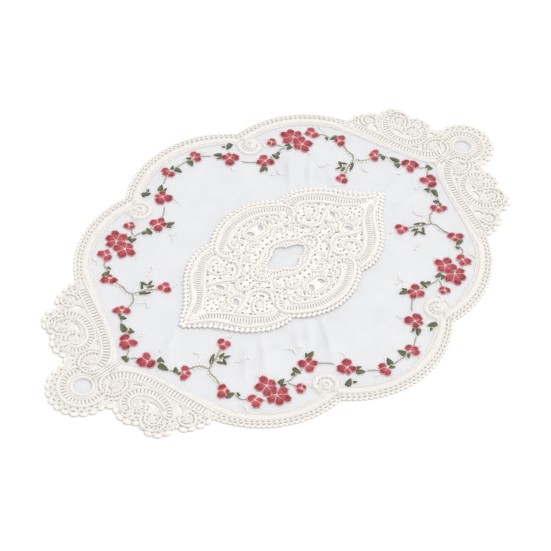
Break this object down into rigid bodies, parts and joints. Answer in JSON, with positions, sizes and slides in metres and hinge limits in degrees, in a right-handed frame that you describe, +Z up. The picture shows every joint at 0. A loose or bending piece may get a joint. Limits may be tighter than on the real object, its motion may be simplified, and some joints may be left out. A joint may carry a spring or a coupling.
{
  "type": "lace table doily",
  "caption": "Oval table doily of sheer organza with embroidered flowers, a lobed lace border with end crests, and a pointed lace medallion.",
  "frame": {"origin": "centre of the underside, on the surface that the doily lies on", "axes": "+X along the long way towards one crest, +Y across, +Z up out of the face"},
  "size_m": [0.4486, 0.3032, 0.0035],
  "materials": {
    "lace_thread": "matt polyester lace with a soft sheen on its satin band",
    "organza": "sheer white organza",
    "petal_thread": "crimson and rose satin stitch",
    "leaf_thread": "olive satin stitch",
    "stem_thread": "fine cream and brown stitches"
  },
  "bodies": {
    "root": {"lace_border": "lace_thread", "lace_medallion": "lace_thread", "organza_ground": "organza"}
  },
  "joints": []
}
